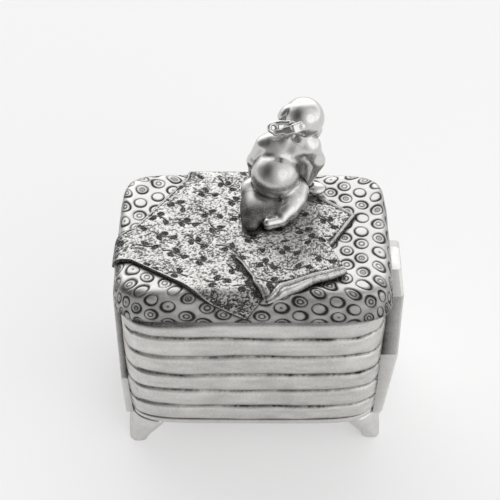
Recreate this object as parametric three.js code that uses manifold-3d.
// Pewter trinket box: a stack of folded blankets between two faceted end boards, on four bracket feet.
// Its lift-off quilt lid carries a second blanket and a kneeling baby.
// Millimetres, +Z up. The long side runs along X and the front faces -Y.
// The origin lies under the middle of the whole, at the level of the feet.
import * as THREE from "three";
import { mergeVertices } from "three/addons/utils/BufferGeometryUtils.js";
import Module from "manifold-3d";

// The blanket stack
const STACK_WIDTH = 69.6;
const STACK_DEPTH = 46;
const LAYER_HEIGHTS = [5.8, 6.65, 6.3, 7.2, 7.1, 7.6]; // from the bottom up
const GROOVE_DEPTH = 1; // between two layers
const EDGE_ROUND = 0.14; // share of a layer's height that is rounded at each edge
const EDGE_SOFTNESS = 0.25; // how far a layer's face draws back where its rounding begins
const WALL = 2.8;
const SEAM_DEPTH = 30; // length of the side walls between the front and back castings
const STACK_POWER = 6; // plan outlines are superellipses: a higher power has squarer corners
const PLAN_STEPS = 56;

// Base plate and feet
const BASE_THICKNESS = 1.75;
const BASE_INSET = 0.4; // the plate's edge behind the fullest part of the stack
const FOOT_HEIGHT = 8.2;
const FOOT_TIP = 5.1; // width on the ground
const FOOT_TOP = 10; // width under the base plate
const FOOT_INSET_SIDE = 0.5; // the feet's outer sides behind the stack's sides
const FOOT_INSET_FRONT = 1.3; // and behind its front and back
const FOOT_FLARE = 0.08; // share by which a foot may stand out from the base plate's outline at its tip
const FOOT_POWER = 3;
const FOOT_STEPS = 16;
const FOOT_LEVELS = 6;

// End boards, as half outlines seen from the end
const BOARD_GAP = 0.3; // to the stack
const BOARD_UNDER_LID = 0.4; // the boards' tops below the lid's edge
const BOARD_TOP_LENGTH = 8.4;
const BOARD_SHOULDER_LENGTH = 20.6;
const BOARD_KNEE_LENGTH = 33;
const BOARD_FOOT_LENGTH = 37;
const LEFT_SHOULDER_DROP = 7.4; // below the board's top
const LEFT_KNEE_DROP = 31;
const LEFT_PROUD_TOP = 1.3; // the left board's outer face beyond the stack's side
const LEFT_PROUD_SHOULDER = 1.5;
const LEFT_PROUD_KNEE = 1.4;
const LEFT_PROUD_FOOT = 1.2;
const RIGHT_SHOULDER_DROP = 3.6;
const RIGHT_KNEE_DROP = 20.8;
const RIGHT_PROUD_TOP = 3.8; // the right board is the thicker one
const RIGHT_PROUD_SHOULDER = 4.5;
const RIGHT_PROUD_KNEE = 3.7;
const RIGHT_PROUD_FOOT = 1.5;
const BOARD_BEVEL = 0.7;

// Lid
const LID_POWER = 8; // its corners are squarer than those of the stack
const LID_OVERHANG_SIDE = 1.2;
const LID_OVERHANG_FRONT = 1.3;
const LID_HEIGHT = 9.4;
const LID_TUCK = 1; // the edge draws in at its foot
const LID_TUCK_HEIGHT = 2.4;
const TUCK_RISE = 0.33; // share of that height at which only TUCK_LEFT of the tuck is left
const TUCK_LEFT = 0.25;
const LID_LEAN = 0.9; // the edge leans in between its foot and its crown
const CROWN_RADIUS = 2.6; // rounding between the edge and the top
const CROWN_TURNS = [Math.PI / 6, Math.PI / 3]; // angles at which the rounding has an outline
const CROWN_EASE = 1.4; // further run over which the rounding fades into the flat top
const LID_TOP_THICKNESS = 2.4;
const RIM_CLEARANCE = 0.5; // rim to walls
const RIM_FIT = 0.3; // rim to the lid's pocket
const RIM_WALL = 1.4;
const RIM_DROP = 4; // reach into the box
const RIM_SEAT = 3; // reach into the lid

// Blanket laid across the lid, with corners measured from the middle of the lid
const SHEET_GAP = 0.3; // blanket to lid
const SHEET_THICKNESS = 0.7;
const SHEET_HANG = 7; // how far the corners hang down the lid's edge
const SHEET_OUTLINE = [
  [-38.6, -6.8],
  [-1.7, -30],
  [2.3, -22.6],
  [20.4, -5.4],
  [27, 5.6],
  [-9, 32.5],
  [-31, 0.6],
];
const FLAP_THICKNESS = 1.5;
const FLAP_ROUND = 1.2; // rounding of the flap's corners
const FLAP_ROUND_STEPS = 3;
const FLAP_OUTLINE = [
  [-4.4, -10.4],
  [2.8, -22.8],
  [23.8, -14.8],
  [17.1, -0.2],
];

// Figure, measured from the middle of the lid and up from the blanket
const HEAD_CENTRE = [12.6, 18.6, 21.5];
const HEAD_SIZE = [11.4, 12, 11.8];
const HEAD_TURN = -0.5; // about the upright, towards the right
const NOSE_SIZE = 1.5;
const TORSO_POINTS = [[5.7, 11.8, 7.9], [6.6, 14.6, 10.6], [8.2, 16.4, 14], [10.8, 17, 18.2]];
const TORSO_RADII = [6, 5.4, 4.6, 3.2];
const SHOULDER_POINTS = [[4.3, 16, 15], [8.8, 15.9, 15], [13.2, 15.8, 14]];
const SHOULDER_RADII = [2.7, 3.2, 2.8];
const LEFT_ARM_POINTS = [[2.7, 16, 14.7], [0.6, 15.6, 9.4], [0.2, 17.2, 2]];
const RIGHT_ARM_POINTS = [[13.4, 15.8, 13.7], [16.2, 15.6, 10.4], [15, 15, 3]];
const ARM_RADII = [2.6, 2.4, 1.5];
const HAND_SIZE = [4.4, 4.6, 2.6];
const LEFT_HAND = [0.4, 18.2, 1.2];
const RIGHT_HAND = [17, 13.8, 1.2];
const LEFT_THIGH_POINTS = [[3.4, 12.6, 4.6], [-0.4, 11.4, 3.2]];
const RIGHT_THIGH_POINTS = [[9, 12.6, 4.6], [11.2, 10.4, 3.4]];
const THIGH_RADII = [3.4, 3];
const LEFT_CALF = [2.4, 5.6, 2];
const LEFT_CALF_SIZE = [11.4, 10, 6.8];
const LEFT_SHIN_POINTS = [[-0.3, 9.6, 2.9], [-0.6, 5, 2.4], [-0.7, 1.2, 1.7]];
const RIGHT_SHIN_POINTS = [[11.2, 10.4, 3.4], [10.2, 6.2, 3.1], [7.6, 2, 2.2]];
const SHIN_RADII = [3, 2.8, 2];
const RIGHT_FOOT = [5.5, 0.7, 1.7];
const RIGHT_FOOT_SIZE = [6.8, 3.6, 3.2];
const RIGHT_FOOT_TURN = 0.3; // about the upright
const TIE_POINTS = [[4.9, 13.9, 22.3], [8.2, 13, 23], [11.8, 12.7, 22.5], [10.6, 13.2, 17.4]]; // of the bib
const TIE_RADII = [1.6, 1.1, 1.5, 1.2];
const NECK_GAP = 0.3; // between the castings of the head and the body
const NECK_POINT = [11, 16.4, 17.6];
const NECK_TILT = [0.45, 0.35, 1]; // direction from the body to the head
const FIGURE_STEPS = 16;
const LIMB_SECTIONS = 6;
const DOME_ANGLES = [0.25, 0.6, 1].map((share) => (share * Math.PI) / 2); // round end of a limb

// Levels and half sizes that follow from the values above
const baseTop = FOOT_HEIGHT + BASE_THICKNESS;
const stackTop = baseTop + LAYER_HEIGHTS.reduce((sum, height) => sum + height, 0);
const lidTop = stackTop + LID_HEIGHT;
const sheetTop = lidTop + SHEET_GAP + SHEET_THICKNESS;
const stackHalf = [STACK_WIDTH / 2, STACK_DEPTH / 2];
const baseHalf = [stackHalf[0] - BASE_INSET, stackHalf[1] - BASE_INSET];
const feetHalf = [stackHalf[0] - FOOT_INSET_SIDE, stackHalf[1] - FOOT_INSET_FRONT];
const lidHalf = [stackHalf[0] + LID_OVERHANG_SIDE, stackHalf[1] + LID_OVERHANG_FRONT];
const rimInset = WALL + RIM_CLEARANCE;
const leftReach = lidHalf[0] + SHEET_GAP + SHEET_THICKNESS; // the blanket over the lid's edge
const rightReach = stackHalf[0] + RIGHT_PROUD_SHOULDER;
const stackShift = (leftReach - rightReach) / 2; // of the stack and its lid from the middle of the whole
const wholeWidth = 4 * STACK_WIDTH; // wider than anything that is cut
const mergeDistance = 1e-4; // points of one geometry that are nearer than this are the same point

const wasm = await Module();
wasm.setup();

// A closed body through rings of points, with a flat fan on its first and last ring
function loft(rings) {
  const count = rings[0].length;
  const points = rings.flat();
  const faces = [];
  for (let ring = 0; ring + 1 < rings.length; ring++) {
    for (let step = 0; step < count; step++) {
      const a = ring * count + step;
      const b = ring * count + ((step + 1) % count);
      faces.push(a, b, b + count, a, b + count, a + count);
    }
  }
  const last = (rings.length - 1) * count;
  for (let step = 1; step + 1 < count; step++) {
    faces.push(0, step + 1, step);
    faces.push(last, last + step, last + step + 1);
  }
  const geometry = new THREE.BufferGeometry();
  geometry.setAttribute("position", new THREE.Float32BufferAttribute(points.flat(), 3));
  geometry.setIndex(faces);
  return geometry;
}

// A three.js geometry as a solid that can be joined and cut
function solid(geometry) {
  const bare = geometry.clone();
  bare.deleteAttribute("normal");
  bare.deleteAttribute("uv");
  const merged = mergeVertices(bare, mergeDistance);
  return new wasm.Manifold(
    new wasm.Mesh({
      numProp: 3,
      vertProperties: new Float32Array(merged.attributes.position.array),
      triVerts: new Uint32Array(merged.index.array),
    }),
  );
}

// A cut or joined solid as a three.js geometry
function shape(body) {
  const mesh = body.getMesh();
  const geometry = new THREE.BufferGeometry();
  geometry.setAttribute("position", new THREE.Float32BufferAttribute(mesh.vertProperties, 3));
  geometry.setIndex(new THREE.Uint32BufferAttribute(mesh.triVerts, 1));
  geometry.computeVertexNormals();
  return geometry;
}

function box(size, centre) {
  return solid(new THREE.BoxGeometry(...size).translate(...centre));
}

// One level of a superellipse outline
function ring(half, z, power = STACK_POWER, steps = PLAN_STEPS, centre = [stackShift, 0]) {
  const points = [];
  for (let step = 0; step < steps; step++) {
    const angle = (2 * Math.PI * step) / steps;
    const across = Math.cos(angle);
    const along = Math.sin(angle);
    points.push([
      centre[0] + half[0] * Math.sign(across) * Math.abs(across) ** (2 / power),
      centre[1] + half[1] * Math.sign(along) * Math.abs(along) ** (2 / power),
      z,
    ]);
  }
  return points;
}

function inset(half, distance) {
  return [half[0] - distance, half[1] - distance];
}

// The folded blankets: rounded layers with a groove between each two
function stackRings() {
  const rings = [];
  let z = baseTop;
  for (const height of LAYER_HEIGHTS) {
    rings.push(ring(inset(stackHalf, GROOVE_DEPTH), z));
    rings.push(ring(inset(stackHalf, EDGE_SOFTNESS), z + EDGE_ROUND * height));
    rings.push(ring(stackHalf, z + height / 2));
    rings.push(ring(inset(stackHalf, EDGE_SOFTNESS), z + (1 - EDGE_ROUND) * height));
    z += height;
  }
  rings.push(ring(inset(stackHalf, GROOVE_DEPTH), z));
  return rings;
}

function walls() {
  const cavity = inset(stackHalf, WALL);
  const tube = solid(loft(stackRings())).subtract(
    solid(loft([ring(cavity, baseTop - WALL), ring(cavity, stackTop + WALL)])),
  );
  const quarter = (x, y, width, depth) => shape(tube.intersect(box([width, depth, wholeWidth], [x, y, 0])));
  const behind = (wholeWidth + SEAM_DEPTH) / 2;
  const beside = wholeWidth / 2;
  return {
    front_wall: quarter(stackShift, -behind, wholeWidth, wholeWidth),
    back_wall: quarter(stackShift, behind, wholeWidth, wholeWidth),
    left_wall: quarter(stackShift - beside, 0, wholeWidth, SEAM_DEPTH),
    right_wall: quarter(stackShift + beside, 0, wholeWidth, SEAM_DEPTH),
  };
}

function basePlate() {
  return loft([ring(baseHalf, FOOT_HEIGHT), ring(baseHalf, baseTop)]);
}

// A point drawn in where it lies beyond the base plate's outline by more than a share
function insideBase([x, y, z], beyondShare) {
  const across = Math.abs((x - stackShift) / baseHalf[0]);
  const along = Math.abs(y / baseHalf[1]);
  const reach = (across ** STACK_POWER + along ** STACK_POWER) ** (1 / STACK_POWER);
  const scale = Math.min((1 + beyondShare) / reach, 1);
  return [stackShift + (x - stackShift) * scale, y * scale, z];
}

// A bracket foot: upright on its outer sides, sweeping inwards from its tip to the base plate
function foot(sideX, sideY) {
  const rings = [];
  for (let level = 0; level <= FOOT_LEVELS; level++) {
    const rise = level / FOOT_LEVELS;
    const half = THREE.MathUtils.lerp(FOOT_TIP, FOOT_TOP, THREE.MathUtils.smoothstep(rise, 0, 1)) / 2;
    const centre = [stackShift + sideX * (feetHalf[0] - half), sideY * (feetHalf[1] - half)];
    const outline = ring([half, half], rise * FOOT_HEIGHT, FOOT_POWER, FOOT_STEPS, centre);
    rings.push(outline.map((point) => insideBase(point, FOOT_FLARE * (1 - rise))));
  }
  return loft(rings);
}

// A faceted board on one end of the stack, bevelled along its outer edges
function endBoard(side, shoulderDrop, kneeDrop, prouds) {
  const top = stackTop - BOARD_UNDER_LID;
  const inner = stackHalf[0] + BOARD_GAP;
  const levels = [FOOT_HEIGHT, top - kneeDrop, top - shoulderDrop, top];
  const lengths = [BOARD_FOOT_LENGTH, BOARD_KNEE_LENGTH, BOARD_SHOULDER_LENGTH, BOARD_TOP_LENGTH];
  const rings = levels.map((z, level) => {
    const outer = stackHalf[0] + prouds[level];
    const half = lengths[level] / 2;
    const outline = [
      [inner, -half],
      [outer - BOARD_BEVEL, -half],
      [outer, BOARD_BEVEL - half],
      [outer, half - BOARD_BEVEL],
      [outer - BOARD_BEVEL, half],
      [inner, half],
    ];
    const placed = outline.map(([x, y]) => [stackShift + side * x, y, z]);
    return side > 0 ? placed : placed.reverse();
  });
  return loft(rings);
}

// The lid's outside, or the same shape swelled by an even distance
function lidRings(swell = 0) {
  const half = inset(lidHalf, -swell);
  const top = lidTop + swell;
  const radius = CROWN_RADIUS + swell;
  const bottom = stackTop - swell;
  const crown = top - radius;
  const lidRing = (run, z) => ring(inset(half, run), z, LID_POWER);
  const rings = [
    lidRing(LID_TUCK, bottom),
    lidRing(LID_TUCK * TUCK_LEFT, stackTop + LID_TUCK_HEIGHT * TUCK_RISE),
    lidRing(0, stackTop + LID_TUCK_HEIGHT),
    lidRing(LID_LEAN, crown),
  ];
  for (const turn of CROWN_TURNS) {
    const run = LID_LEAN + (1 - Math.cos(turn)) * radius;
    rings.push(lidRing(run, crown + Math.sin(turn) * radius));
  }
  rings.push(lidRing(LID_LEAN + radius + CROWN_EASE, top));
  return rings;
}

function lidQuilt() {
  const pocket = inset(stackHalf, rimInset - RIM_FIT);
  const hollow = loft([ring(pocket, stackTop - LID_HEIGHT), ring(pocket, lidTop - LID_TOP_THICKNESS)]);
  return shape(solid(loft(lidRings())).subtract(solid(hollow)));
}

function lidRim() {
  const outer = inset(stackHalf, rimInset);
  const inner = inset(outer, RIM_WALL);
  const bottom = stackTop - RIM_DROP;
  const top = stackTop + RIM_SEAT;
  const hollow = loft([ring(inner, bottom - RIM_WALL), ring(inner, top + RIM_WALL)]);
  return shape(solid(loft([ring(outer, bottom), ring(outer, top)])).subtract(solid(hollow)));
}

// An upright prism over an outline that is measured from the middle of the lid
function prism(outline, bottom, height) {
  const plan = new THREE.Shape(outline.map(([x, y]) => new THREE.Vector2(x + stackShift, y)));
  return new THREE.ExtrudeGeometry(plan, { depth: height, bevelEnabled: false }).translate(0, 0, bottom);
}

// A thin sheet that follows the lid's top and hangs over its edges
function blanket() {
  const cover = solid(loft(lidRings(SHEET_GAP + SHEET_THICKNESS)));
  const under = solid(loft(lidRings(SHEET_GAP)));
  const reach = SHEET_HANG + SHEET_GAP + SHEET_THICKNESS;
  const plan = solid(prism(SHEET_OUTLINE, sheetTop - reach, 2 * reach));
  return shape(cover.subtract(under).intersect(plan));
}

// The folded side of the blanket, lying flat on the sheet with rounded corners
function blanketFlap() {
  const corners = FLAP_OUTLINE.map(([x, y]) => new THREE.Vector2(x + stackShift, y));
  const plan = new THREE.Shape();
  corners.forEach((corner, index) => {
    const before = corners[(index + corners.length - 1) % corners.length];
    const after = corners[(index + 1) % corners.length];
    const from = before.clone().sub(corner).setLength(FLAP_ROUND).add(corner);
    const to = after.clone().sub(corner).setLength(FLAP_ROUND).add(corner);
    if (index === 0) plan.moveTo(from.x, from.y);
    else plan.lineTo(from.x, from.y);
    plan.quadraticCurveTo(corner.x, corner.y, to.x, to.y);
  });
  plan.closePath();
  const settings = { depth: FLAP_THICKNESS, bevelEnabled: false, curveSegments: FLAP_ROUND_STEPS };
  return new THREE.ExtrudeGeometry(plan, settings).translate(0, 0, sheetTop);
}

// A point of the figure, in the frame of the box
function onLid([x, y, z]) {
  return new THREE.Vector3(x + stackShift, y, z + sheetTop);
}

function ball(centre, size, turn = 0) {
  const geometry = new THREE.SphereGeometry(0.5, FIGURE_STEPS, FIGURE_STEPS / 2);
  geometry.rotateX(Math.PI / 2).scale(...size).rotateZ(turn);
  return solid(geometry.translate(...onLid(centre).toArray()));
}

// A limb: a round section of changing radius that follows a curve, with domed ends
function limb(points, radii) {
  const path = new THREE.CatmullRomCurve3(points.map(onLid));
  const extents = new THREE.Box3().setFromPoints(path.points).getSize(new THREE.Vector3()).toArray();
  const aside = new THREE.Vector3().setComponent(extents.indexOf(Math.min(...extents)), 1);
  const rings = [];
  const addRing = (share, ahead, radiusShare) => {
    const way = path.getTangent(share);
    const across = new THREE.Vector3().crossVectors(aside, way).normalize();
    const level = new THREE.Vector3().crossVectors(way, across);
    const joint = Math.min(Math.floor(share * (radii.length - 1)), radii.length - 2);
    const radius = THREE.MathUtils.lerp(radii[joint], radii[joint + 1], share * (radii.length - 1) - joint);
    const centre = path.getPoint(share).addScaledVector(way, ahead * radius);
    const section = [];
    for (let step = 0; step < FIGURE_STEPS; step++) {
      const angle = (2 * Math.PI * step) / FIGURE_STEPS;
      const point = centre.clone().addScaledVector(across, Math.cos(angle) * radius * radiusShare);
      section.push(point.addScaledVector(level, Math.sin(angle) * radius * radiusShare).toArray());
    }
    rings.push(section);
  };
  for (const angle of DOME_ANGLES) addRing(0, -Math.cos(angle), Math.sin(angle));
  for (let section = 1; section < LIMB_SECTIONS; section++) addRing(section / LIMB_SECTIONS, 0, 1);
  for (const angle of DOME_ANGLES.toReversed()) addRing(1, Math.cos(angle), Math.sin(angle));
  return solid(loft(rings));
}

// A block that fills all that lies beyond a plane
function beyond(point, direction) {
  const way = new THREE.Vector3(...direction).normalize();
  const block = new THREE.BoxGeometry(wholeWidth, wholeWidth, wholeWidth).translate(0, 0, wholeWidth / 2);
  block.applyQuaternion(new THREE.Quaternion().setFromUnitVectors(new THREE.Vector3(0, 0, 1), way));
  return solid(block.translate(...point.toArray()));
}

// The head with its nose, or the same shape swelled by an even distance
function head(swell = 0) {
  const ahead = [Math.sin(-HEAD_TURN), Math.cos(HEAD_TURN), 0].map((share) => share * (HEAD_SIZE[1] / 2));
  const nose = HEAD_CENTRE.map((place, axis) => place + ahead[axis]);
  const size = HEAD_SIZE.map((length) => length + 2 * swell);
  return ball(HEAD_CENTRE, size, HEAD_TURN).add(ball(nose, Array(3).fill(NOSE_SIZE)));
}

// The body and the head are two castings that meet at the neck
function figure() {
  const body = limb(TORSO_POINTS, TORSO_RADII)
    .add(limb(SHOULDER_POINTS, SHOULDER_RADII))
    .add(limb(LEFT_ARM_POINTS, ARM_RADII))
    .add(limb(RIGHT_ARM_POINTS, ARM_RADII))
    .add(ball(LEFT_HAND, HAND_SIZE))
    .add(ball(RIGHT_HAND, HAND_SIZE))
    .add(limb(LEFT_THIGH_POINTS, THIGH_RADII))
    .add(limb(RIGHT_THIGH_POINTS, THIGH_RADII))
    .add(ball(LEFT_CALF, LEFT_CALF_SIZE))
    .add(limb(LEFT_SHIN_POINTS, SHIN_RADII))
    .add(limb(RIGHT_SHIN_POINTS, SHIN_RADII))
    .add(ball(RIGHT_FOOT, RIGHT_FOOT_SIZE, RIGHT_FOOT_TURN));
  const neck = onLid(NECK_POINT);
  const gap = new THREE.Vector3(...NECK_TILT).setLength(NECK_GAP);
  const floor = new THREE.Vector3(0, 0, sheetTop);
  const standing = body.intersect(beyond(floor, [0, 0, 1])).subtract(beyond(neck, NECK_TILT));
  return {
    figure_body: shape(standing.add(limb(TIE_POINTS, TIE_RADII)).subtract(head(NECK_GAP))),
    figure_head: shape(head().intersect(beyond(neck.clone().add(gap), NECK_TILT))),
  };
}

// Finishes of the castings
const satinPewter = { color: 0xc4c5c6, roughness: 0.42, metalness: 1 };
const paleFrame = { color: 0xb9bbbd, roughness: 0.46, metalness: 1 };
const darkQuilt = { color: 0xa9abae, roughness: 0.4, metalness: 1 };
const stippledSheet = { color: 0x8f9296, roughness: 0.5, metalness: 1 };
const polishedPewter = { color: 0xb4b7bb, roughness: 0.22, metalness: 1 };

const trinketBox = new THREE.Group();

function place(name, geometry, finish) {
  const mesh = new THREE.Mesh(geometry, new THREE.MeshStandardMaterial(finish));
  mesh.name = name;
  trinketBox.add(mesh);
}

place("base_plate", basePlate(), paleFrame);
for (const [name, geometry] of Object.entries(walls())) {
  place(name, geometry, satinPewter);
}
const leftProuds = [LEFT_PROUD_FOOT, LEFT_PROUD_KNEE, LEFT_PROUD_SHOULDER, LEFT_PROUD_TOP];
const rightProuds = [RIGHT_PROUD_FOOT, RIGHT_PROUD_KNEE, RIGHT_PROUD_SHOULDER, RIGHT_PROUD_TOP];
place("left_end_board", endBoard(-1, LEFT_SHOULDER_DROP, LEFT_KNEE_DROP, leftProuds), paleFrame);
place("right_end_board", endBoard(1, RIGHT_SHOULDER_DROP, RIGHT_KNEE_DROP, rightProuds), paleFrame);
for (const [depthName, sideY] of [["front", -1], ["back", 1]]) {
  for (const [sideName, sideX] of [["left", -1], ["right", 1]]) {
    place(`${depthName}_${sideName}_foot`, foot(sideX, sideY), paleFrame);
  }
}
place("lid_quilt", lidQuilt(), darkQuilt);
place("lid_rim", lidRim(), satinPewter);
place("blanket", blanket(), stippledSheet);
place("blanket_flap", blanketFlap(), stippledSheet);
for (const [name, geometry] of Object.entries(figure())) {
  place(name, geometry, polishedPewter);
}

export default trinketBox;
